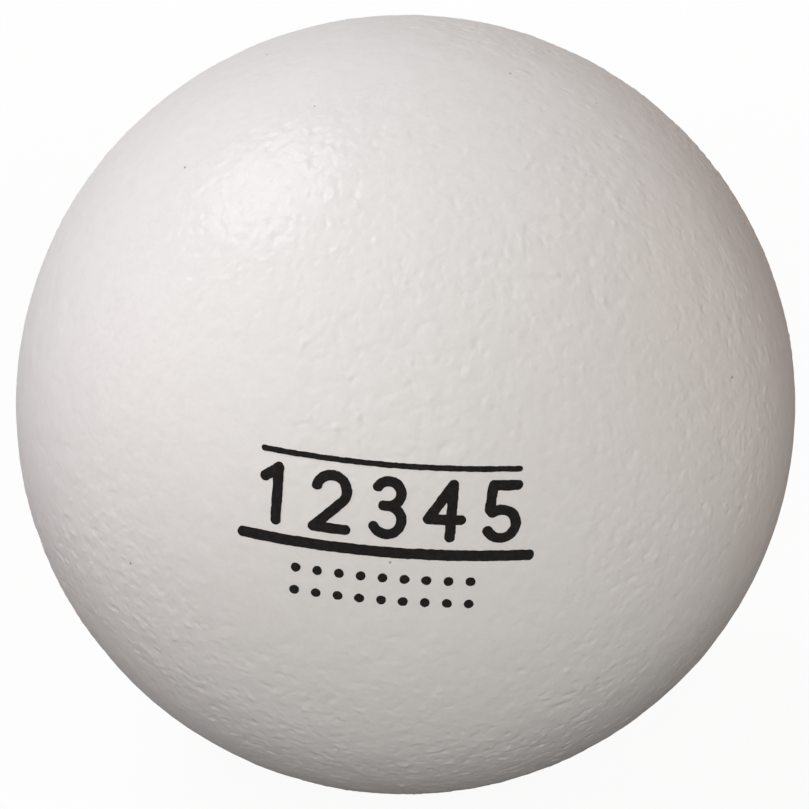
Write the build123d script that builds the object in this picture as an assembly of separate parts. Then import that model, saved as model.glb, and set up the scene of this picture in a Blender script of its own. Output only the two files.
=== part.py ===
from build123d import *
import math
import os

# Soft foam handball: a moulded foam ball inside a bonded skin, with a print in ink on the skin.
# Millimetres. The origin is the ball's centre, +Z is up, and the print faces -Y.

# Ball
BALL_DIAMETER = 160.0
SKIN_THICKNESS = 0.8
# Radius of the flat that the ball's own weight presses where it stands
CONTACT_RADIUS = 9.0

# Print, laid out on a flat stencil whose middle is at the ball's front
INK_THICKNESS = 0.08
PRINT_TILT = 4.0
# Clear band between the two rules, where the numerals go, and how far its middle is above the stencil's
BAND_HEIGHT = 15.5
BAND_RISE = 7.0
UPPER_RULE_LENGTH = 50.0
UPPER_RULE_WIDTH = 1.1
LOWER_RULE_LENGTH = 57.0
LOWER_RULE_WIDTH = 2.2
DOT_DIAMETER = 1.9
DOT_PITCH = 4.2
DOT_COUNT = 9
DOT_ROWS = 2
DOT_ROW_PITCH = 4.8
# Clear height between the lower rule and the first row of dots
DOT_GAP = 3.4

BALL_RADIUS = BALL_DIAMETER / 2
# A soft ball that stands on a flat of this radius has sunk by the square of it over the ball's radius
SETTLE_DEPTH = CONTACT_RADIUS**2 / BALL_RADIUS
STANDING_HEIGHT = BALL_RADIUS - SETTLE_DEPTH


def ball_profile(inset):
    """Half section of the standing ball, moved inwards by inset all along.

    A flat foot runs out from the axis. One arc leaves it level and runs into the big arc without a
    corner, and the big arc, round the ball's centre, goes on to the top.
    """
    # The blend arc touches the floor at the flat's edge and the big arc from inside
    blend_radius = (BALL_RADIUS**2 - STANDING_HEIGHT**2 - CONTACT_RADIUS**2) / (2 * SETTLE_DEPTH)
    centre_height = blend_radius - STANDING_HEIGHT
    reach = math.hypot(CONTACT_RADIUS, centre_height)
    radius = BALL_RADIUS - inset
    foot_height = inset - STANDING_HEIGHT

    foot_edge = (CONTACT_RADIUS, foot_height)
    blend_end = (CONTACT_RADIUS / reach * radius, centre_height / reach * radius)
    foot = Line((0, foot_height), foot_edge)
    blend = TangentArc(foot_edge, blend_end, tangent=(1, 0))
    round_side = ThreePointArc(blend_end, (radius, 0), (0, radius))
    axis_line = Line((0, radius), (0, foot_height))
    return Plane.XZ * make_face([foot, blend, round_side, axis_line])


def standing_ball(inset):
    """The solid inside the profile, turned about the upright axis."""
    return revolve(ball_profile(inset), Axis.Z)


def ink_film(stencil):
    """The ink that a flat stencil leaves on the front of the ball, one layer thick."""
    stamp = extrude(Plane.XZ * (Rot(0, 0, -PRINT_TILT) * stencil), amount=BALL_DIAMETER)
    layer = Sphere(BALL_RADIUS + INK_THICKNESS) - Sphere(BALL_RADIUS)
    return stamp & layer


def rule_stencil():
    """Two straight rules with round ends, a thin one over the clear band and a bold one under it."""
    upper_height = BAND_RISE + (BAND_HEIGHT + UPPER_RULE_WIDTH) / 2
    lower_height = BAND_RISE - (BAND_HEIGHT + LOWER_RULE_WIDTH) / 2
    upper = Pos(0, upper_height) * SlotOverall(UPPER_RULE_LENGTH, UPPER_RULE_WIDTH)
    lower = Pos(0, lower_height) * SlotOverall(LOWER_RULE_LENGTH, LOWER_RULE_WIDTH)
    return upper + lower


def dot_stencil():
    """Rows of dots below the lower rule, the first row nearest to it."""
    first_row = BAND_RISE - BAND_HEIGHT / 2 - LOWER_RULE_WIDTH - DOT_GAP - DOT_DIAMETER / 2
    middle_row = first_row - (DOT_ROWS - 1) * DOT_ROW_PITCH / 2
    places = GridLocations(DOT_PITCH, DOT_ROW_PITCH, DOT_COUNT, DOT_ROWS)
    return Sketch() + [Pos(0, middle_row) * place * Circle(DOT_DIAMETER / 2) for place in places]


foam_core = standing_ball(SKIN_THICKNESS)
skin = standing_ball(0) - foam_core

nodes = {
    "foam_core": foam_core,
    "skin": skin,
    "print_rules": ink_film(rule_stencil()),
    "print_dots": ink_film(dot_stencil()),
}

os.makedirs("parts", exist_ok=True)
for name, shape in nodes.items():
    export_step(shape, f"parts/{name}.step")
    print(name, "solids", len(shape.solids()), "volume cm3", round(shape.volume / 1000, 4))
print("stands at z", round(-STANDING_HEIGHT, 4), "sunk by", round(SETTLE_DEPTH, 4))
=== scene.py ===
# %% [markdown]
# A soft foam handball in white, with a plain print.
#
# The real ball is foam cast in a round mould and coated with a thin elastic skin, so it has no panels,
# no stitches and no valve. The solids give the sizes and places. This lesson gives the ball the surface
# that they lack: a leathery grain, pinholes, a satin gloss and ink with soft edges.

# %% Load the solids
import math

import bpy
import numpy as np
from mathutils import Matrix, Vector


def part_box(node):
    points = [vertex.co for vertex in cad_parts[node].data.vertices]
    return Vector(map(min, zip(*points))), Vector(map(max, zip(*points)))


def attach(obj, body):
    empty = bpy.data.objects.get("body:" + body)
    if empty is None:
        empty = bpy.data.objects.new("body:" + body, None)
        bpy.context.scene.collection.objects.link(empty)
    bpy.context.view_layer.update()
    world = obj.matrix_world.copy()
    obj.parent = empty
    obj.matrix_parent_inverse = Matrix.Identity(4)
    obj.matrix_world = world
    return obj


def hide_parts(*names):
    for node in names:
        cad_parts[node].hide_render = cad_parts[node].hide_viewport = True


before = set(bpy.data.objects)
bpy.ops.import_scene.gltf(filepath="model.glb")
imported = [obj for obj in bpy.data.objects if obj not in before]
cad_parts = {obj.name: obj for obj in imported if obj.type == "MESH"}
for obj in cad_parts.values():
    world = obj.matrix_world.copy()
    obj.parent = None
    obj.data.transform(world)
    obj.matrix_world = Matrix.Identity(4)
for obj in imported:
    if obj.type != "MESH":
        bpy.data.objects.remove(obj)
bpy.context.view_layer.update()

print("solids:", sorted(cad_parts))

# %% [markdown]
# Every size below is in metres. The ball's own sizes are read from the solids, so that
# the dressed ball can't drift away from them: the top of the skin is the radius, its lowest point is the
# floor, and the core's top tells how thick the skin is.

# %% Read the ball's sizes
MM = 0.001
skin_low, skin_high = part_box("skin")
_, core_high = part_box("foam_core")
BALL_RADIUS = skin_high.z
FLOOR_HEIGHT = skin_low.z
SKIN_THICKNESS = skin_high.z - core_high.z
# A soft ball sinks until the square of its flat's radius is the ball's radius times the depth
SETTLE_DEPTH = BALL_RADIUS + FLOOR_HEIGHT
CONTACT_RADIUS = math.sqrt(BALL_RADIUS * SETTLE_DEPTH)
print(f"radius {BALL_RADIUS / MM:.2f} mm, skin {SKIN_THICKNESS / MM:.2f} mm,"
      f" flat {2 * CONTACT_RADIUS / MM:.2f} mm across, sunk {SETTLE_DEPTH / MM:.3f} mm")

# %% [markdown]
# The camera looks down on the ball a little, so that the print sits below the middle of the picture. A
# ball's outline is a circle from everywhere, so its size in the picture sets only the lens. The lens is
# worked out from the width that the ball takes up, and a very small shift puts its middle in place.

# %% Set up the camera
# Pixels: the picture's width, the ball's width in it, and how far right of the middle the ball lies
FRAME_PIXELS = 809
BALL_PIXELS = 779
BALL_RIGHT_PIXELS = 1.1
VIEW_AZIMUTH = math.radians(2.81)
VIEW_ELEVATION = math.radians(19.26)
VIEW_DISTANCE = 1.0
NEAR_CLIP = 0.01


def aim(thing):
    """Turns a camera or lamp so that it looks at the ball's middle, with its top upwards."""
    look = -thing.location
    thing.rotation_euler = look.to_track_quat("-Z", "Y").to_euler()


def toward(azimuth, elevation):
    """Unit vector from the ball to a place; azimuth 0 is in front of the print, 90 degrees is on +X."""
    level = math.cos(elevation)
    return Vector((level * math.sin(azimuth), -level * math.cos(azimuth), math.sin(elevation)))


camera = bpy.data.objects.new("photo_camera", bpy.data.cameras.new("photo_camera"))
bpy.context.scene.collection.objects.link(camera)
bpy.context.scene.camera = camera
camera.location = VIEW_DISTANCE * toward(VIEW_AZIMUTH, VIEW_ELEVATION)
aim(camera)
# The outline is where sight lines graze the ball, a little nearer than its middle
graze_slope = BALL_RADIUS / math.sqrt(VIEW_DISTANCE**2 - BALL_RADIUS**2)
camera.data.angle = 2 * math.atan(graze_slope * FRAME_PIXELS / BALL_PIXELS)
camera.data.shift_x = -BALL_RIGHT_PIXELS / FRAME_PIXELS
camera.data.clip_start = NEAR_CLIP
print(f"lens {camera.data.lens:.1f} mm at {VIEW_DISTANCE} m")

# %% [markdown]
# A ball could be a UV sphere, but its rows crowd together at the poles, and grain drawn there would show
# it. A cube blown up to a ball has six patches of nearly even squares and no pole. Each patch also gets
# its own square in a flat map.

# %% Spread points evenly over a ball
CUBE_FACES = 6
MAP_COLUMNS = 3
MAP_ROWS = 2
MAP_MARGIN = 0.01
MAP_NAME = "OFBake"
# Squares along a side of the coarse ball that the formulas are tried on
TRIAL_CELLS = 16


def cube_ball(cells):
    """Directions all round, and the quads between them, from the six faces of a cube.

    A face has cells squares each way. A point at shares s and t of a face, from 0 to 1, stands at
    tan(90 degrees times (s - 1/2)), and the same of t, on the cube, and is then drawn out from the
    middle to length 1. Points of shared edges are merged by their whole-number place on the cube.
    """
    steps = np.arange(cells + 1)
    along, up = np.meshgrid(steps, steps, indexing="ij")
    places = np.empty((CUBE_FACES, cells + 1, cells + 1, 3), dtype=np.int64)
    for face in range(CUBE_FACES):
        axis = face % 3
        far_side = face < 3
        first, second = (axis + 1) % 3, (axis + 2) % 3
        # Swapping the two directions on the near faces keeps every quad facing outwards
        places[face, ..., first if far_side else second] = along
        places[face, ..., second if far_side else first] = up
        places[face, ..., axis] = cells if far_side else 0
    index = np.arange(places[..., 0].size).reshape(places.shape[:3])
    quads = np.stack([index[:, :-1, :-1], index[:, 1:, :-1], index[:, 1:, 1:], index[:, :-1, 1:]], axis=-1)
    key = places.reshape(-1, 3) @ np.array([1, cells + 1, (cells + 1) ** 2])
    _, first_seen, merged = np.unique(key, return_index=True, return_inverse=True)
    on_cube = np.tan((places.reshape(-1, 3)[first_seen] / cells - 0.5) * (math.pi / 2))
    directions = on_cube / np.linalg.norm(on_cube, axis=1, keepdims=True)
    return directions, merged.reshape(-1)[quads.reshape(-1, 4)]


def cube_map(cells, low, high):
    """One map place per quad corner: six squares, three across and two up, from corner low to high."""
    steps = np.linspace(MAP_MARGIN, 1 - MAP_MARGIN, cells + 1)
    along, up = np.meshgrid(steps, steps, indexing="ij")
    square = np.stack([along, up], axis=-1)
    corners = np.stack([square[:-1, :-1], square[1:, :-1], square[1:, 1:], square[:-1, 1:]], axis=2)
    face = np.arange(CUBE_FACES)
    patch = np.stack([face % MAP_COLUMNS, face // MAP_COLUMNS], axis=-1)
    place = (patch[:, None, None, None, :] + corners) / (MAP_COLUMNS, MAP_ROWS)
    return np.asarray(low) + place.reshape(-1, 2) * (np.asarray(high) - np.asarray(low))


trial_directions, trial_quads = cube_ball(TRIAL_CELLS)
print(f"with {TRIAL_CELLS} squares a side: {len(trial_directions)} points, {len(trial_quads)} quads")

# %% [markdown]
# A soft ball that stands for a while settles on a small flat. The same three stretches make the outer
# wall, the inner wall of the skin and the core: a flat foot, an arc that leaves it level, and the round
# rest. Each is written as a distance from the middle along a given direction, so any grid of directions
# can be laid on it.

# %% Give the settled form as a distance from the middle


def settled_radius(directions, inset):
    """Distance from the ball's middle to its wall, moved inwards by inset.

    Where a direction meets the floor inside the flat, it is the floor's depth over the direction's drop.
    Past the line to the blend arc's middle it is the ball's radius. Between them it is where the
    direction leaves the blend circle: the middle's share along the direction, plus the root of its
    square, less the middle's distance squared, plus the circle's radius squared.
    """
    drop = -directions[:, 2]
    out = np.hypot(directions[:, 0], directions[:, 1])
    floor_depth = -FLOOR_HEIGHT
    blend_radius = (BALL_RADIUS**2 - floor_depth**2 - CONTACT_RADIUS**2) / (2 * SETTLE_DEPTH)
    blend_depth = floor_depth - blend_radius
    foot_depth = floor_depth - inset
    along = CONTACT_RADIUS * out + blend_depth * drop
    under_root = along**2 - CONTACT_RADIUS**2 - blend_depth**2 + (blend_radius - inset) ** 2
    blend = along + np.sqrt(np.maximum(under_root, 0))
    on_foot = out * foot_depth <= CONTACT_RADIUS * drop
    on_round = out * blend_depth >= CONTACT_RADIUS * drop
    foot = foot_depth / np.where(on_foot, drop, 1)
    return np.where(on_foot, foot, np.where(on_round, BALL_RADIUS - inset, blend))


trial_radius = settled_radius(trial_directions, 0)
print(f"wall between {trial_radius.min() / MM:.3f} and {trial_radius.max() / MM:.3f} mm from the middle")

# %% [markdown]
# The grain of a sprayed skin comes from random shrinking, so it is built from random numbers that are the
# same on every run. Gradient noise puts a random slope on each corner of a lattice in space and blends
# between them. It is worked out in space and not on the surface, so the six patches join without a seam.

# %% Make repeatable noise
HASH_STEPS = np.array([0x8DA6B343, 0xD8163841, 0xCB1AB31F], dtype=np.uint32)
HASH_ROUNDS = ((15, 0x2C1B3C6D), (12, 0x297A2D39))
HASH_LAST_SHIFT = 15
SEED_STEP = 0x9E3779B1
WORD_RANGE = 2**32
# Bits of the hash that go into each of a vector's three parts, and the largest number that they hold
PART_BITS = 10
PART_TOP = 2**PART_BITS - 1
# Brings the noise to about the range from -1 to 1
NOISE_GAIN = 1.9
# Size, as a share of the ball's radius, and seed of the noise that is tried out
TRIAL_SIZE = 0.1
TRIAL_SEED = 1


def random_vectors(corners, seed):
    """A random vector for each lattice corner, each part from -1 to 1.

    The corner's whole numbers are multiplied by large odd numbers, added up and scrambled by shifting and
    multiplying. Three groups of ten bits of the result are the three parts.
    """
    mixed = (corners.astype(np.uint32) * HASH_STEPS).sum(axis=1, dtype=np.uint32)
    mixed = mixed + np.uint32(seed * SEED_STEP % WORD_RANGE)
    for shift, factor in HASH_ROUNDS:
        mixed = (mixed ^ (mixed >> np.uint32(shift))) * np.uint32(factor)
    mixed = mixed ^ (mixed >> np.uint32(HASH_LAST_SHIFT))
    shifts = PART_BITS * np.arange(3, dtype=np.uint32)
    bits = (mixed[:, None] >> shifts) & np.uint32(PART_TOP)
    return bits / (PART_TOP / 2) - 1


def noise(points, size, seed):
    """Smooth random hills about size apart, mostly between -1 and 1.

    At each of a lattice cell's eight corners, the offset from the corner times its random slope gives a
    height. The heights are blended by 6 t^5 - 15 t^4 + 10 t^3 along each axis.
    """
    place = points / size
    base = np.floor(place)
    part = place - base
    blend = part**3 * (part * (part * 6 - 15) + 10)
    total = np.zeros(len(points))
    for corner in np.ndindex(2, 2, 2):
        weight = np.prod(np.where(np.array(corner, dtype=bool), blend, 1 - blend), axis=1)
        slope = random_vectors((base + corner).astype(np.int64), seed)
        total += weight * np.einsum("ij,ij->i", part - corner, slope)
    return NOISE_GAIN * total


def smooth_step(value, low, high):
    """0 below low, 1 above high, and 3 t^2 - 2 t^3 between."""
    share = np.clip((value - low) / (high - low), 0, 1)
    return share * share * (3 - 2 * share)


trial_noise = noise(trial_directions, TRIAL_SIZE, TRIAL_SEED)
print(f"noise: mean {trial_noise.mean():.3f}, spread {trial_noise.std():.3f}")

# %% [markdown]
# Seen close, the skin is a field of small soft dabs, one to two millimetres wide, some raised and some
# sunk, crossed by short wrinkles that start and stop. A bump map alone would leave the outline and the
# exported mesh perfectly smooth, so dabs and wrinkles are real height here. Only tooth finer than a
# millimetre is left to the finish.

# %% Give the grain as a height
# Each set of slow hills: lattice size, height, and a seed
HILL_SETS = ((21.0 * MM, 0.045 * MM, 21), (9.5 * MM, 0.060 * MM, 22), (4.5 * MM, 0.055 * MM, 23))
DAB_SIZE = 2.2 * MM
DAB_SEED = 24
DAB_HEIGHT = 0.130 * MM
BEND_SIZE = 3.0 * MM
BEND_REACH = 0.7 * MM
BEND_SEEDS = (11, 12, 13)
# Each set of wrinkles: lattice size, height, which is negative for a groove, and a seed
WRINKLE_SETS = ((3.4 * MM, -0.126 * MM, 31), (2.6 * MM, 0.086 * MM, 41))
# How far from zero the noise may be for a wrinkle's wall
WRINKLE_WIDTH = 0.32
STUB_SIZE = 1.9 * MM
STUB_RANGE = (0.0, 0.7)
# Dabs and wrinkles are weaker in some patches
PATCH_SIZE = 42.0 * MM
PATCH_SEED = 1999
PATCH_RANGE = (-0.5, 0.5)
CALM_SHARE = 0.28


def grain_height(directions):
    """Height of the grain over the smooth form.

    It is the sum of slow hills, dabs and wrinkles. A dab is a noise cubed, which leaves calm ground
    between its peaks. A wrinkle runs where a noise passes through zero, with the section of the bell
    curve exp(-(noise / width)^2), and a second noise lets only short stubs of it through. All read a
    place that is bent a little, and a slow noise weakens dabs and wrinkles in calm patches.
    """
    place = directions * BALL_RADIUS
    bend = np.stack([noise(place, BEND_SIZE, seed) for seed in BEND_SEEDS], axis=1)
    bent = place + BEND_REACH * bend
    hills = sum(rise * noise(bent, size, seed) for size, rise, seed in HILL_SETS)
    relief = DAB_HEIGHT * noise(bent, DAB_SIZE, DAB_SEED) ** 3
    for size, rise, seed in WRINKLE_SETS:
        line = np.exp(-((noise(bent, size, seed) / WRINKLE_WIDTH) ** 2))
        stub = smooth_step(noise(place, STUB_SIZE, seed + 1), *STUB_RANGE)
        relief += rise * line * stub
    strong = smooth_step(noise(place, PATCH_SIZE, PATCH_SEED), *PATCH_RANGE)
    patch = CALM_SHARE + (1 - CALM_SHARE) * strong
    return hills + patch * relief


trial_grain = grain_height(trial_directions) / MM
print(f"grain from {trial_grain.min():.3f} to {trial_grain.max():.3f} mm, spread {trial_grain.std():.3f} mm")

# %% [markdown]
# Now the skin itself. Its outer wall is the settled form plus the grain, pressed smooth on the foot. Its
# inner wall is the same form one skin's thickness further in, turned inside out so that it faces the
# hollow, with larger squares because nothing fine happens there. Together they close the skin.

# %% Build the skin
SKIN_CELLS = 340
LINING_CELLS = 64
# The lining's map lies in a strip above the outer wall's
SKIN_MAP_TOP = 0.94
# Over this height above the floor the grain comes back from pressed smooth to full
PRESSED_HEIGHT = 1.2 * MM


def add_piece(name, points, faces, uv=None):
    """Puts points and faces into a new smooth-shaded mesh object at the origin."""
    mesh = bpy.data.meshes.new(name)
    mesh.from_pydata(points, [], faces)
    mesh.polygons.foreach_set("use_smooth", np.ones(len(faces), dtype=bool))
    if uv is not None:
        mesh.uv_layers.new(name=MAP_NAME).data.foreach_set("uv", uv.astype(np.float32).ravel())
    mesh.update()
    piece = bpy.data.objects.new(name, mesh)
    bpy.context.scene.collection.objects.link(piece)
    print(f"{name}: {len(points)} points, {len(faces)} faces")
    return piece


def skin_wall(directions):
    """Points of the outer wall: the settled form plus the grain, which fades out on the pressed foot."""
    radius = settled_radius(directions, 0)
    above_floor = radius * directions[:, 2] - FLOOR_HEIGHT
    grain = grain_height(directions) * smooth_step(above_floor, 0, PRESSED_HEIGHT)
    points = directions * (radius + grain)[:, None]
    points[:, 2] = np.maximum(points[:, 2], FLOOR_HEIGHT)
    return points


outer_directions, outer_quads = cube_ball(SKIN_CELLS)
outer_points = skin_wall(outer_directions)
lining_directions, lining_quads = cube_ball(LINING_CELLS)
lining_points = lining_directions * settled_radius(lining_directions, SKIN_THICKNESS)[:, None]
# Reading the corners backwards turns a quad over, and its map corners are turned with it
lining_quads = lining_quads[:, ::-1]
lining_map = cube_map(LINING_CELLS, (0, SKIN_MAP_TOP), (1, 1)).reshape(-1, 4, 2)[:, ::-1].reshape(-1, 2)
skin = add_piece(
    "skin_grained",
    np.concatenate([outer_points, lining_points]),
    np.concatenate([outer_quads, lining_quads + len(outer_points)]),
    np.concatenate([cube_map(SKIN_CELLS, (0, 0), (1, SKIN_MAP_TOP)), lining_map]),
)

# %% [markdown]
# The foam core fills the skin. Nobody sees it on a whole ball, but it is a piece of its own, and someone
# who cuts the ball open in a scene will. Moulded foam is full of small open cells, so its wall is pitted:
# every point is lowered by how near it lies to the closest of many scattered cell middles.

# %% Build the foam core
CORE_CELLS = 128
CORE_CLEARANCE = 0.03 * MM
PIT_SPACING = 3.4 * MM
PIT_SEED = 51
PIT_DEPTH = 0.5 * MM
# A pit's radius as a share of the spacing
PIT_REACH = 0.5


def nearest_middle(points, size, seed):
    """Distance to the nearest of many scattered points, one in each lattice cell, as a share of size.

    Each cell holds one point, moved at random within it. The nearest lies in the point's own cell or one
    of the 26 round it, so the least of those 27 distances is kept.
    """
    place = points / size
    base = np.floor(place)
    nearest = np.full(len(points), np.inf)
    for step in np.ndindex(3, 3, 3):
        cell = base + step - 1
        middle = cell + 0.5 + 0.5 * random_vectors(cell.astype(np.int64), seed)
        nearest = np.minimum(nearest, np.linalg.norm(place - middle, axis=1))
    return nearest


def core_wall(directions):
    """Points of the core's wall: the form just inside the skin, less a round-bottomed pit at each cell."""
    radius = settled_radius(directions, SKIN_THICKNESS + CORE_CLEARANCE)
    share = nearest_middle(directions * BALL_RADIUS, PIT_SPACING, PIT_SEED) / PIT_REACH
    pits = PIT_DEPTH * np.sqrt(np.clip(1 - share**2, 0, 1))
    return directions * (radius - pits)[:, None]


core_directions, core_quads = cube_ball(CORE_CELLS)
core = add_piece(
    "foam_core_pitted", core_wall(core_directions), core_quads, cube_map(CORE_CELLS, (0, 0), (1, 1))
)

# %% [markdown]
# Ink was stamped on the front of the ball from a flat stencil. A text object wrapped on a sphere would
# work, but its outline would be perfectly sharp, and real ink on leather misses the creases. So each mark
# is a distance: negative inside, positive outside. Adding a little noise to a distance makes its edge
# waver, which is how the ink gets its soft, slightly eaten edge.

# %% Give the marks as distances on a flat stencil
PRINT_TILT = math.radians(4.0)
BAND_RISE = 7.0 * MM
BAND_HEIGHT = 15.5 * MM
UPPER_RULE = (50.0 * MM, 1.1 * MM)
LOWER_RULE = (57.0 * MM, 2.2 * MM)
DOT_DIAMETER = 1.9 * MM
DOT_PITCH = 4.2 * MM
DOT_COUNT = 9
DOT_ROWS = 2
DOT_ROW_PITCH = 4.8 * MM
DOT_GAP = 3.4 * MM


def line_distance(points, start, end):
    """Distance from each point to the straight line from start to end."""
    start, end = np.asarray(start), np.asarray(end)
    run = end - start
    share = np.clip((points - start) @ run / (run @ run), 0, 1)
    return np.linalg.norm(points - start - share[:, None] * run, axis=1)


def arc_distance(points, centre, radius, first, last):
    """Distance from each point to the arc that turns anticlockwise from angle first to last, in degrees.

    Beside the arc it is the difference of the distances to its centre, elsewhere it is that to its ends.
    """
    offset = points - np.asarray(centre)
    turned = (np.degrees(np.arctan2(offset[:, 1], offset[:, 0])) - first) % 360
    angles = np.radians([first, last])
    ends = np.asarray(centre) + radius * np.stack([np.cos(angles), np.sin(angles)], axis=1)
    to_ends = np.linalg.norm(points[:, None, :] - ends, axis=2).min(axis=1)
    return np.where(turned <= last - first, np.abs(np.linalg.norm(offset, axis=1) - radius), to_ends)


def rules_distance(points):
    """Signed distance to the two rules with round ends, over and under the clear band."""
    distance = np.full(len(points), np.inf)
    for (length, width), side in ((UPPER_RULE, 1), (LOWER_RULE, -1)):
        height = BAND_RISE + side * (BAND_HEIGHT + width) / 2
        reach = (length - width) / 2
        line = line_distance(points, (-reach, height), (reach, height))
        distance = np.minimum(distance, line - width / 2)
    return distance


def dots_distance(points):
    """Signed distance to the nearest dot of the rows under the lower rule."""
    first_row = BAND_RISE - BAND_HEIGHT / 2 - LOWER_RULE[1] - DOT_GAP - DOT_DIAMETER / 2
    column = np.clip(np.round(points[:, 0] / DOT_PITCH), -(DOT_COUNT // 2), DOT_COUNT // 2)
    row = np.clip(np.round((first_row - points[:, 1]) / DOT_ROW_PITCH), 0, DOT_ROWS - 1)
    middle = np.stack([column * DOT_PITCH, first_row - row * DOT_ROW_PITCH], axis=1)
    return np.linalg.norm(points - middle, axis=1) - DOT_DIAMETER / 2


origin = np.zeros((1, 2))
print(f"the stencil's middle is {rules_distance(origin)[0] / MM:.2f} mm from the rules"
      f" and {dots_distance(origin)[0] / MM:.2f} mm from the dots")

# %% [markdown]
# The band between the rules holds plain numerals in a round bold hand. Each is a few straight strokes and
# arcs, laid out round its own middle, and a stroke is simply every point within half a pen's width of
# its line.

# %% Draw the numerals
NUMERAL_PITCH = 10.9 * MM
PEN_WIDTH = 2.0 * MM
NUMERAL_HEIGHT = 12.4 * MM
# Half the height of a numeral's middle line, which the other sizes are shares of
RISE = (NUMERAL_HEIGHT - PEN_WIDTH) / 2
HALF_WIDTH = 0.60 * RISE
# Radii of the bowls of 3 and 5, and of the hook of 2
SMALL_BOWL = 0.46 * RISE
LARGE_BOWL = RISE - SMALL_BOWL
HOOK = 0.57 * RISE
# Where arcs start and stop, in degrees anticlockwise from the right
HOOK_ARC = (-38, 165)
SMALL_BOWL_ARC = (-90, 150)
LARGE_BOWL_ARC = (-150, 90)
FIVE_BOWL_ARC = (-150, 128)
# How far the flag of 1 drops and reaches left, and where its stem stands
FLAG_DROP = 0.40 * RISE
FLAG_REACH = 1.2 * FLAG_DROP
ONE_STEM = FLAG_DROP / 4
THREE_STUB = SMALL_BOWL / 3
FOUR_STEM = 0.25 * RISE
FOUR_BAR = -0.32 * RISE
# The ends of the top bar of 5, the foot of its side, and the middle of its bowl
FIVE_LEFT = -0.40 * RISE
FIVE_RIGHT = 0.48 * RISE
FIVE_SIDE_FOOT = (1.15 * FIVE_LEFT, 0.08 * RISE)
FIVE_CENTRE = (-0.02 * RISE, LARGE_BOWL - RISE)


def arc_end(centre, radius, angle):
    """The point of a circle at an angle in degrees."""
    turn = math.radians(angle)
    return np.asarray(centre) + radius * np.array((math.cos(turn), math.sin(turn)))


def numeral_one(points):
    """A stem with a slanting flag at its top."""
    top = (ONE_STEM, RISE)
    upright = line_distance(points, (ONE_STEM, -RISE), top)
    flag = line_distance(points, top, (ONE_STEM - FLAG_REACH, RISE - FLAG_DROP))
    return np.minimum(upright, flag)


def numeral_two(points):
    """A hook, a slanting stroke from its end, and a foot."""
    centre = (0, RISE - HOOK)
    hook = arc_distance(points, centre, HOOK, *HOOK_ARC)
    slant = line_distance(points, arc_end(centre, HOOK, HOOK_ARC[0]), (-HALF_WIDTH, -RISE))
    foot = line_distance(points, (-HALF_WIDTH, -RISE), (HALF_WIDTH, -RISE))
    return np.minimum(hook, np.minimum(slant, foot))


def numeral_three(points):
    """A small bowl on a large one, with a short stub where they meet."""
    middle = RISE - 2 * SMALL_BOWL
    upper = arc_distance(points, (0, RISE - SMALL_BOWL), SMALL_BOWL, *SMALL_BOWL_ARC)
    lower = arc_distance(points, (0, LARGE_BOWL - RISE), LARGE_BOWL, *LARGE_BOWL_ARC)
    stub = line_distance(points, (-THREE_STUB, middle), (0, middle))
    return np.minimum(stub, np.minimum(upper, lower))


def numeral_four(points):
    """A slanting stroke, a bar from its foot, and a stem through the bar."""
    top = (FOUR_STEM, RISE)
    slant = line_distance(points, top, (-HALF_WIDTH, FOUR_BAR))
    crossing = line_distance(points, (-HALF_WIDTH, FOUR_BAR), (HALF_WIDTH, FOUR_BAR))
    upright = line_distance(points, top, (FOUR_STEM, -RISE))
    return np.minimum(slant, np.minimum(crossing, upright))


def numeral_five(points):
    """A top bar, a short side, and a large bowl that a short stroke joins to the foot of the side."""
    corner = (FIVE_LEFT, RISE)
    bar = line_distance(points, corner, (FIVE_RIGHT, RISE))
    side = line_distance(points, corner, FIVE_SIDE_FOOT)
    turn = line_distance(points, FIVE_SIDE_FOOT, arc_end(FIVE_CENTRE, LARGE_BOWL, FIVE_BOWL_ARC[1]))
    bowl = arc_distance(points, FIVE_CENTRE, LARGE_BOWL, *FIVE_BOWL_ARC)
    return np.minimum(np.minimum(bar, side), np.minimum(turn, bowl))


NUMERALS = (numeral_one, numeral_two, numeral_three, numeral_four, numeral_five)


def numerals_distance(points):
    """Signed distance to the nearest stroke of the row of numerals in the clear band."""
    distance = np.full(len(points), np.inf)
    for place, numeral in enumerate(NUMERALS):
        middle = ((place - (len(NUMERALS) - 1) / 2) * NUMERAL_PITCH, BAND_RISE)
        distance = np.minimum(distance, numeral(points - middle))
    return distance - PEN_WIDTH / 2


print(f"{len(NUMERALS)} numerals, {NUMERAL_HEIGHT / MM:.1f} mm tall, with a pen {PEN_WIDTH / MM:.1f} mm wide")

# %% [markdown]
# A mark becomes a film by cutting it out of a fine square grid. Squares whose middle is inside are kept,
# and the points on the rim then slide along the distance's own slope until they lie on its edge, so the
# steps of the grid vanish. The film is then laid on the skin's grain, with walls down into it.

# %% Lay the ink on the skin
INK_CELL = 0.13 * MM
INK_PROUD = 0.08 * MM
INK_SUNK = 0.10 * MM
# Each set of edge wobble: the size of its waves, how far they reach, and a seed
WOBBLES = ((1.3 * MM, 0.075 * MM, 61), (0.55 * MM, 0.035 * MM, 62))
# How often a rim point slides towards the edge, and the step that it feels the slope with
SLIDES = 4
PROBE = 0.01 * MM
# Least squared slope that a slide divides by, so that no point is thrown far off
LEAST_STEEPNESS = 0.25


def eaten(distance_of):
    """The same distance with a wavering edge: two noises are added to it."""
    def with_wobble(points):
        place = np.column_stack([points, np.zeros(len(points))])
        wobble = sum(reach * noise(place, size, seed) for size, reach, seed in WOBBLES)
        return distance_of(points) + wobble
    return with_wobble


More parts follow.
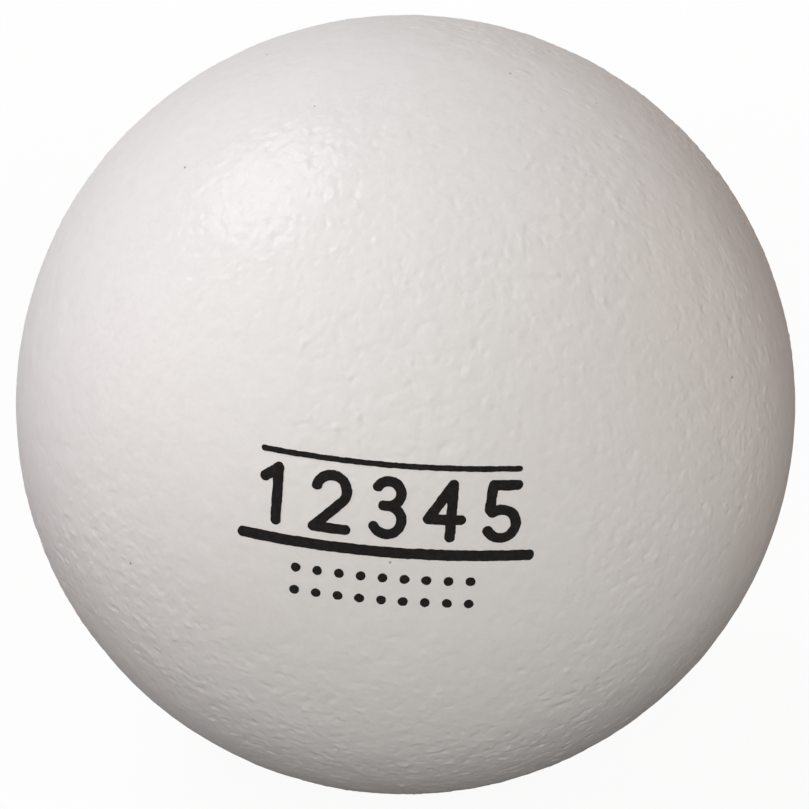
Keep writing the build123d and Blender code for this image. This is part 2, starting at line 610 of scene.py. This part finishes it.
def cut_out(distance_of, low, high):
    """Points and quads of the mark on the flat stencil, and the rim's edges.

    Each edge of the rim has the ink on its left.
    """
    across = np.arange(low[0], high[0], INK_CELL)
    upward = np.arange(low[1], high[1], INK_CELL)
    grid = np.stack(np.meshgrid(across, upward, indexing="ij"), axis=-1)
    inside = distance_of(grid[:-1, :-1].reshape(-1, 2) + INK_CELL / 2) < 0
    index = np.arange(grid[..., 0].size).reshape(grid.shape[:2])
    quads = np.stack([index[:-1, :-1], index[1:, :-1], index[1:, 1:], index[:-1, 1:]], axis=-1)
    used, quads = np.unique(quads.reshape(-1, 4)[inside], return_inverse=True)
    quads = quads.reshape(-1, 4)
    points = grid.reshape(-1, 2)[used]
    edges = np.stack([quads, np.roll(quads, -1, axis=1)], axis=-1).reshape(-1, 2)
    _, first, count = np.unique(np.sort(edges, axis=1), axis=0, return_index=True, return_counts=True)
    rim = edges[first[count == 1]]
    moving = np.unique(rim)
    for _ in range(SLIDES):
        here = points[moving]
        distance = distance_of(here)
        steps = (distance_of(here + (PROBE, 0)) - distance, distance_of(here + (0, PROBE)) - distance)
        slope = np.stack(steps, axis=1) / PROBE
        steepness = np.maximum((slope**2).sum(axis=1), LEAST_STEEPNESS)
        points[moving] = here - slope * (distance / steepness)[:, None]
    return points, quads, rim


def on_front(points):
    """Directions to the front of the ball for points of the stencil, turned by the print's tilt."""
    across = points[:, 0] * math.cos(PRINT_TILT) + points[:, 1] * math.sin(PRINT_TILT)
    upward = points[:, 1] * math.cos(PRINT_TILT) - points[:, 0] * math.sin(PRINT_TILT)
    back = -np.sqrt(BALL_RADIUS**2 - across**2 - upward**2)
    return np.stack([across, back, upward], axis=1) / BALL_RADIUS


def ink_film(name, distance_of, low, high):
    """A closed film: a top that stands proud of the skin, a bottom sunk in it, and walls along the rim."""
    points, quads, rim = cut_out(eaten(distance_of), low, high)
    directions = on_front(points)
    radius = BALL_RADIUS + grain_height(directions)
    top = directions * (radius + INK_PROUD)[:, None]
    bottom = directions * (radius - INK_SUNK)[:, None]
    below = len(points)
    walls = np.stack([rim[:, 0] + below, rim[:, 1] + below, rim[:, 1], rim[:, 0]], axis=1)
    faces = np.concatenate([quads, quads[:, ::-1] + below, walls])
    film = add_piece(name, np.concatenate([top, bottom]), faces)
    # Flat walls keep the smooth shading of the top from bending over its edge
    smooth = np.arange(len(faces)) < 2 * len(quads)
    film.data.polygons.foreach_set("use_smooth", smooth)
    return film


# The stencil's box has room to spare round the marks
STENCIL_HALF_WIDTH = LOWER_RULE[0] / 2 + PEN_WIDTH
STENCIL_TOP = BAND_RISE + BAND_HEIGHT
STENCIL_FOOT = BAND_RISE - 2 * BAND_HEIGHT
stencil = ((-STENCIL_HALF_WIDTH, STENCIL_FOOT), (STENCIL_HALF_WIDTH, STENCIL_TOP))
rules = ink_film("print_rules_ink", rules_distance, *stencil)
dots = ink_film("print_dots_ink", dots_distance, *stencil)
numerals = ink_film("print_numerals_ink", numerals_distance, *stencil)

# %% [markdown]
# The finishes come next. They are made of nodes that read each piece's own place in metres, so the grain
# has a real size. A short helper adds a node, sets its fixed values and links what comes from other nodes.

# %% Prepare to build finishes


def live(sockets, label):
    """The socket of that name that is in use.

    A Mix node has several of one name, one for each kind of data.
    """
    return next(socket for socket in sockets if socket.enabled and socket.name == label)


def feed(tree, socket, value):
    """Links another node's output to an input, or gives the input a fixed value."""
    if isinstance(value, bpy.types.NodeSocket):
        tree.links.new(value, socket)
    else:
        socket.default_value = value


def add_node(tree, kind, inputs, result, **settings):
    """Adds a node, feeds its inputs by name, and returns its output named result."""
    node = tree.nodes.new(kind)
    for setting, value in settings.items():
        setattr(node, setting, value)
    for label, value in inputs.items():
        feed(tree, live(node.inputs, label), value)
    return live(node.outputs, result)


def clouds(tree, place, scale, detail):
    """Noise between 0 and 1, mostly near a half, with scale hills to the metre and detail finer layers."""
    values = {"Vector": place, "Scale": scale, "Detail": detail}
    return add_node(tree, "ShaderNodeTexNoise", values, "Fac")


def ramp(tree, value, low, high, start=0.0, end=1.0):
    """A smooth climb from start to end as the value goes from low to high."""
    values = {"Value": value, "From Min": low, "From Max": high, "To Min": start, "To Max": end}
    return add_node(tree, "ShaderNodeMapRange", values, "Result", interpolation_type="SMOOTHSTEP")


def blend_colour(tree, share, low, high):
    """The colour low where share is 0, and high where it is 1."""
    values = {"Factor": share, "A": low, "B": high}
    return add_node(tree, "ShaderNodeMix", values, "Result", data_type="RGBA")


def compute(tree, operation, first, second):
    """The result of one operation on two values. A Math node's inputs share a name, so order tells them."""
    node = tree.nodes.new("ShaderNodeMath")
    node.operation = operation
    for socket, value in zip(node.inputs, (first, second)):
        feed(tree, socket, value)
    return node.outputs["Value"]


def new_finish(name):
    """A material, its node tree, its Principled shader, and the place on the piece in metres."""
    material = bpy.data.materials.new(name)
    material.use_nodes = True
    tree = material.node_tree
    place = tree.nodes.new("ShaderNodeTexCoord").outputs["Object"]
    return material, tree, tree.nodes["Principled BSDF"], place


print("ready to build finishes")

# %% [markdown]
# Three effects serve more than one finish, so each is a node group. Mottle drifts slowly between two
# colours, as handled white skin, foam and thin ink all do. Uneven gloss lets roughness drift in the same
# way. Tooth is the finest relief of skin and ink: small pebbles that carry finer ones.

# %% Build the shared effects
# The part of a noise's reach over which an effect goes from its low to its high value
MOTTLE_RANGE = (0.34, 0.66)
GLOSS_RANGE = (0.3, 0.7)
# Layers of finer noise that each effect carries
MOTTLE_DETAIL = 4.0
GLOSS_DETAIL = 2.0
TOOTH_DETAIL = 3.0


def new_group(name, inputs, outputs):
    """An empty shader node group with named sockets. Returns its tree, its inputs and its outputs."""
    tree = bpy.data.node_groups.new(name, "ShaderNodeTree")
    for label, kind in inputs:
        tree.interface.new_socket(label, in_out="INPUT", socket_type="NodeSocket" + kind)
    for label, kind in outputs:
        tree.interface.new_socket(label, in_out="OUTPUT", socket_type="NodeSocket" + kind)
    return tree, tree.nodes.new("NodeGroupInput").outputs, tree.nodes.new("NodeGroupOutput").inputs


def build_mottle():
    """Group: a colour that drifts between Low and High."""
    inputs = (("Place", "Vector"), ("Scale", "Float"), ("Low", "Color"), ("High", "Color"))
    tree, given, wanted = new_group("mottle", inputs, (("Color", "Color"),))
    mask = ramp(tree, clouds(tree, given["Place"], given["Scale"], MOTTLE_DETAIL), *MOTTLE_RANGE)
    tree.links.new(blend_colour(tree, mask, given["Low"], given["High"]), wanted["Color"])
    return tree


def build_gloss():
    """Group: a roughness that drifts between Low and High."""
    inputs = (("Place", "Vector"), ("Scale", "Float"), ("Low", "Float"), ("High", "Float"))
    tree, given, wanted = new_group("uneven_gloss", inputs, (("Roughness", "Float"),))
    patches = clouds(tree, given["Place"], given["Scale"], GLOSS_DETAIL)
    drift = ramp(tree, patches, *GLOSS_RANGE, start=given["Low"], end=given["High"])
    tree.links.new(drift, wanted["Roughness"])
    return tree


def build_tooth():
    """Group: relief from 0 to 1, small pebbles that carry finer ones."""
    inputs = (("Place", "Vector"), ("Scale", "Float"))
    tree, given, wanted = new_group("leather_tooth", inputs, (("Height", "Float"),))
    pebbles = clouds(tree, given["Place"], given["Scale"], TOOTH_DETAIL)
    tree.links.new(pebbles, wanted["Height"])
    return tree


def use_group(tree, group, values):
    """Places a shared effect in a finish with that finish's own values, and returns its output."""
    node = tree.nodes.new("ShaderNodeGroup")
    node.node_tree = group
    for label, value in values.items():
        feed(tree, node.inputs[label], value)
    return node.outputs[0]


def use_gloss(tree, place, patch, reach):
    """The uneven gloss between the two roughnesses of reach, in patches of that size."""
    low, high = reach
    return use_group(tree, uneven_gloss, {"Place": place, "Scale": 1 / patch, "Low": low, "High": high})


def use_bump(tree, shader, height, depth):
    """Turns a height into a tilt of the shader's surface. Depth is how deep a height of 1 is, in metres."""
    values = {"Height": height, "Distance": depth, "Strength": 1.0}
    tree.links.new(add_node(tree, "ShaderNodeBump", values, "Normal"), shader.inputs["Normal"])


mottle = build_mottle()
uneven_gloss = build_gloss()
tooth = build_tooth()
print("shared effects:", [group.name for group in (mottle, uneven_gloss, tooth)])

# %% [markdown]
# The skin is a warm white elastomer with a satin gloss. Its colour drifts by a hair, and a few pinholes are
# left where bubbles burst as it cured, each painted dark with the shade that falls in it. The gloss is broken
# up by roughness that varies from place to place.
# A soft coat scatters more at a glancing angle, so Layer Weight raises its roughness towards the outline.

# %% Finish the skin
SKIN_LIGHT = (0.815, 0.799, 0.778, 1.0)
SKIN_SHADE = (0.799, 0.782, 0.760, 1.0)
SKIN_DRIFT = 2.6 * MM
# Painted shade: the dark colour that stands in for the shade inside a pinhole
PINHOLE_SHADE_COLOUR = (0.36, 0.33, 0.29, 1.0)
PINHOLE_SPACING = 13.0 * MM
PINHOLE_RADIUS = 0.40 * MM
# The share of a pinhole's radius that is painted fully dark, as the shade in its pit
PINHOLE_CORE = 0.4
SKIN_ROUGHNESS = (0.19, 0.34)
SKIN_GLOSS_PATCH = 1.2 * MM
# How evenly Layer Weight counts the angle, where it starts and stops raising roughness, and by how much
FACING_BLEND = 0.5
GLANCING_RANGE = (0.35, 0.80)
GLANCING_ROUGHNESS = 0.78
SKIN_SPECULAR = 0.15
TOOTH_SIZE = 0.8 * MM
SKIN_TOOTH_DEPTH = 0.017 * MM


def finish_skin():
    """The white skin's material."""
    material, tree, shader, place = new_finish("white_skin")
    values = {"Place": place, "Scale": 1 / SKIN_DRIFT, "Low": SKIN_SHADE, "High": SKIN_LIGHT}
    colour = use_group(tree, mottle, values)
    values = {"Vector": place, "Scale": 1 / PINHOLE_SPACING}
    bubble = add_node(tree, "ShaderNodeTexVoronoi", values, "Distance")
    edge = PINHOLE_RADIUS / PINHOLE_SPACING
    pinhole_dent_and_shade = ramp(tree, bubble, PINHOLE_CORE * edge, edge, start=1.0, end=0.0)
    # Painted shade: the pinholes are darkened in the base colour, and the bump below also sinks them
    tree.links.new(blend_colour(tree, pinhole_dent_and_shade, colour, PINHOLE_SHADE_COLOUR), shader.inputs["Base Color"])

    satin = use_gloss(tree, place, SKIN_GLOSS_PATCH, SKIN_ROUGHNESS)
    facing = add_node(tree, "ShaderNodeLayerWeight", {"Blend": FACING_BLEND}, "Facing")
    glancing = ramp(tree, facing, *GLANCING_RANGE, end=GLANCING_ROUGHNESS)
    tree.links.new(compute(tree, "ADD", satin, glancing), shader.inputs["Roughness"])
    shader.inputs["Specular IOR Level"].default_value = SKIN_SPECULAR

    relief = use_group(tree, tooth, {"Place": place, "Scale": 1 / TOOTH_SIZE})
    use_bump(tree, shader, compute(tree, "SUBTRACT", relief, pinhole_dent_and_shade), SKIN_TOOTH_DEPTH)
    return material


skin.data.materials.append(finish_skin())
print("skin finished")

# %% [markdown]
# The ink is a thin matt black film. It takes the skin's tooth, weaker because ink fills it, and it is a
# shade greyer where it is thin.

# %% Finish the ink
INK_THICK = (0.0085, 0.0080, 0.0072, 1.0)
INK_THIN = (0.0150, 0.0135, 0.0120, 1.0)
INK_DRIFT = 1.1 * MM
INK_ROUGHNESS = (0.50, 0.68)
INK_GLOSS_PATCH = 0.7 * MM
INK_SPECULAR = 0.10
INK_TOOTH_DEPTH = 0.02 * MM


def finish_ink():
    """The matt black ink's material."""
    material, tree, shader, place = new_finish("black_ink")
    values = {"Place": place, "Scale": 1 / INK_DRIFT, "Low": INK_THICK, "High": INK_THIN}
    tree.links.new(use_group(tree, mottle, values), shader.inputs["Base Color"])
    matt = use_gloss(tree, place, INK_GLOSS_PATCH, INK_ROUGHNESS)
    tree.links.new(matt, shader.inputs["Roughness"])
    shader.inputs["Specular IOR Level"].default_value = INK_SPECULAR
    relief = use_group(tree, tooth, {"Place": place, "Scale": 1 / TOOTH_SIZE})
    use_bump(tree, shader, relief, INK_TOOTH_DEPTH)
    return material


black_ink = finish_ink()
for film in (rules, dots, numerals):
    film.data.materials.append(black_ink)
print("ink finished on", [film.name for film in (rules, dots, numerals)])

# %% [markdown]
# The foam is a pale straw colour, with painted shade in its open cells, and fully matt. Small cells under a
# millimetre come from a Voronoi bump.

# %% Finish the foam
FOAM_LIGHT = (0.82, 0.76, 0.62, 1.0)
# The darker tone that the foam drifts to at random, and the colour of the painted shade in its cells
FOAM_DARK_TONE_AND_SHADE = (0.70, 0.62, 0.47, 1.0)
FOAM_DRIFT = 4.0 * MM
FOAM_ROUGHNESS = (0.85, 0.98)
FOAM_GLOSS_PATCH = 2.5 * MM
FOAM_SPECULAR = 0.15
FOAM_CELL = 0.9 * MM
FOAM_CELL_DEPTH = 0.16 * MM
# Over these shares of a cell's spacing its painted shade fades out, from this strength
HOLLOW_SHADE_RANGE = (0.1, 0.5)
HOLLOW_SHADE_STRENGTH = 0.5


def finish_foam():
    """The open-cell foam's material."""
    material, tree, shader, place = new_finish("straw_foam")
    values = {"Place": place, "Scale": 1 / FOAM_DRIFT, "Low": FOAM_DARK_TONE_AND_SHADE, "High": FOAM_LIGHT}
    colour = use_group(tree, mottle, values)
    cell = add_node(tree, "ShaderNodeTexVoronoi", {"Vector": place, "Scale": 1 / FOAM_CELL}, "Distance")
    painted_hollow_shade = ramp(tree, cell, *HOLLOW_SHADE_RANGE, start=HOLLOW_SHADE_STRENGTH, end=0.0)
    # Painted shade: each cell's hollow is blended towards the dark foam colour
    tree.links.new(blend_colour(tree, painted_hollow_shade, colour, FOAM_DARK_TONE_AND_SHADE), shader.inputs["Base Color"])
    matt = use_gloss(tree, place, FOAM_GLOSS_PATCH, FOAM_ROUGHNESS)
    tree.links.new(matt, shader.inputs["Roughness"])
    shader.inputs["Specular IOR Level"].default_value = FOAM_SPECULAR
    use_bump(tree, shader, cell, FOAM_CELL_DEPTH)
    return material


core.data.materials.append(finish_foam())
print("foam finished")

# %% [markdown]
# Each piece now takes the place of its solid. The ball has no moving parts, so everything rides on the
# one body. Skin and core are soft and full, and the numerals are a sign that has no solid of its own.

# %% Join the pieces to the frame
STANDS_FOR = ((skin, "skin", "skin"), (core, "foam_core", "foam"), (rules, "print_rules", "ink"),
              (dots, "print_dots", "ink"))
for piece, node, slot in STANDS_FOR:
    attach(piece, "root")
    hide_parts(node)
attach(numerals, "root")

# %% [markdown]
# The ball stands on a pale floor. The camera, mirrors and glass see it almost white, with a faint shadow,
# and all white before it ends, so that its edge doesn't show. Other light meets a dark grey, so that the
# floor doesn't throw a glow on the underside of the ball. The floor is a disc of rings that widen outwards.

# %% Lay the floor
FLOOR_REACH = 1.25
FLOOR_RINGS = 24
FLOOR_SPOKES = 96
FLOOR_GAP = 0.05 * MM
FLOOR_SEEN = (0.92, 0.91, 0.90, 1.0)
FLOOR_FELT = (0.09, 0.087, 0.083, 1.0)
FLOOR_ROUGHNESS = 0.9
FLOOR_GLOW = 0.94
# Over these distances from the ball's middle the floor's glow goes on to full
FADE_RANGE = (0.25, 0.9)


def floor_disc():
    """Points and faces of a disc whose rings widen as the square of their number, and the hub inside them."""
    share = np.arange(1, FLOOR_RINGS + 1) / FLOOR_RINGS
    angle = np.arange(FLOOR_SPOKES) * (2 * math.pi / FLOOR_SPOKES)
    radius, turn = np.meshgrid(FLOOR_REACH * share**2, angle, indexing="ij")
    height = np.full(radius.shape, FLOOR_HEIGHT - FLOOR_GAP)
    points = np.stack([radius * np.cos(turn), radius * np.sin(turn), height], axis=-1)
    index = np.arange(radius.size).reshape(radius.shape)
    onward = np.roll(index, -1, axis=1)
    quads = np.stack([index[:-1], index[1:], onward[1:], onward[:-1]], axis=-1)
    hub = [index[0].tolist()]
    return points.reshape(-1, 3), quads.reshape(-1, 4).tolist() + hub


def seen_directly(tree):
    """1 for rays from the camera, or from mirrors and glass, and 0 for light that only falls on things."""
    path = tree.nodes.new("ShaderNodeLightPath").outputs
    mirrored = compute(tree, "MAXIMUM", path["Is Glossy Ray"], path["Is Transmission Ray"])
    return compute(tree, "MAXIMUM", path["Is Camera Ray"], mirrored)


def finish_floor():
    """A matt floor that glows white to the camera and keeps a faint shadow."""
    material, tree, shader, place = new_finish("pale_floor")
    seen = seen_directly(tree)
    tree.links.new(blend_colour(tree, seen, FLOOR_FELT, FLOOR_SEEN), shader.inputs["Base Color"])
    shader.inputs["Roughness"].default_value = FLOOR_ROUGHNESS
    shader.inputs["Specular IOR Level"].default_value = 0.0
    glow = add_node(tree, "ShaderNodeEmission", {"Strength": 1.0}, "Emission")
    mixed = tree.nodes.new("ShaderNodeMixShader")
    distance = add_node(tree, "ShaderNodeVectorMath", {"Vector": place}, "Value", operation="LENGTH")
    share = ramp(tree, distance, *FADE_RANGE, start=FLOOR_GLOW, end=1.0)
    tree.links.new(compute(tree, "MULTIPLY", seen, share), mixed.inputs["Fac"])
    tree.links.new(shader.outputs["BSDF"], mixed.inputs[1])
    tree.links.new(glow, mixed.inputs[2])
    tree.links.new(mixed.outputs["Shader"], tree.nodes["Material Output"].inputs["Surface"])
    return material


floor = add_piece("floor", *floor_disc())
floor.data.materials.append(finish_floor())

# %% [markdown]
# A big soft lamp high on the left models the ball and puts the broad highlight on its shoulder. A wide
# soft light from the front fills the face, and weaker ones open the left side, the right side and the
# back. Each lamp's strength is given as a level: the brightness that it alone would give to a white card
# that faces it. For a round lamp that is its radiance times the square of the sine of its half angle, and
# an area lamp of power P and area A has the radiance P / (pi A).

# %% Light the ball
LAMP_DISTANCE = 1.4


def softbox(name, azimuth, elevation, half_angle, level, colour, shows=True):
    """A round lamp that faces the ball. Angles are in degrees, and shows is whether gloss mirrors it."""
    lamp = bpy.data.lights.new(name, "AREA")
    lamp.shape = "DISK"
    radius = LAMP_DISTANCE * math.tan(math.radians(half_angle))
    lamp.size = 2 * radius
    radiance = level / math.sin(math.radians(half_angle)) ** 2
    lamp.energy = math.pi * (math.pi * radius**2) * radiance
    lamp.color = colour
    stand = bpy.data.objects.new(name, lamp)
    stand.location = LAMP_DISTANCE * toward(math.radians(azimuth), math.radians(elevation))
    aim(stand)
    stand.visible_camera = False
    stand.visible_glossy = shows
    bpy.context.scene.collection.objects.link(stand)
    print(f"{name}: level {level}, {lamp.energy:.1f} W")


softbox("key_softbox", -93, 58.5, half_angle=15.8, level=0.490, colour=(0.925, 0.947, 1.0))
softbox("front_fill", 3, 14, half_angle=18, level=0.617, colour=(1.0, 0.974, 0.953), shows=False)
softbox("left_fill", -85, 14, half_angle=20, level=0.245, colour=(1.0, 0.895, 0.915), shows=False)
softbox("right_fill", 105, 25, half_angle=20, level=0.185, colour=(1.0, 0.800, 0.720), shows=False)
softbox("back_fill", 183, 24, half_angle=16, level=0.170, colour=(1.0, 0.900, 0.750), shows=False)

# %% [markdown]
# The room is dim to the ball. Only the camera, mirrors and glass see it white.

# %% Fill the room
ROOM_LEVEL = 0.05


def fill_room():
    """The world: white where it is seen, and dim where its light only falls on things."""
    world = bpy.data.worlds.new("studio")
    world.use_nodes = True
    tree = world.node_tree
    background = tree.nodes["Background"]
    background.inputs["Color"].default_value = (1.0, 1.0, 1.0, 1.0)
    strength = ramp(tree, seen_directly(tree), 0.0, 1.0, start=ROOM_LEVEL, end=1.0)
    tree.links.new(strength, background.inputs["Strength"])
    bpy.context.scene.world = world


fill_room()
bpy.context.scene.view_settings.view_transform = "Standard"
print("room level", ROOM_LEVEL)
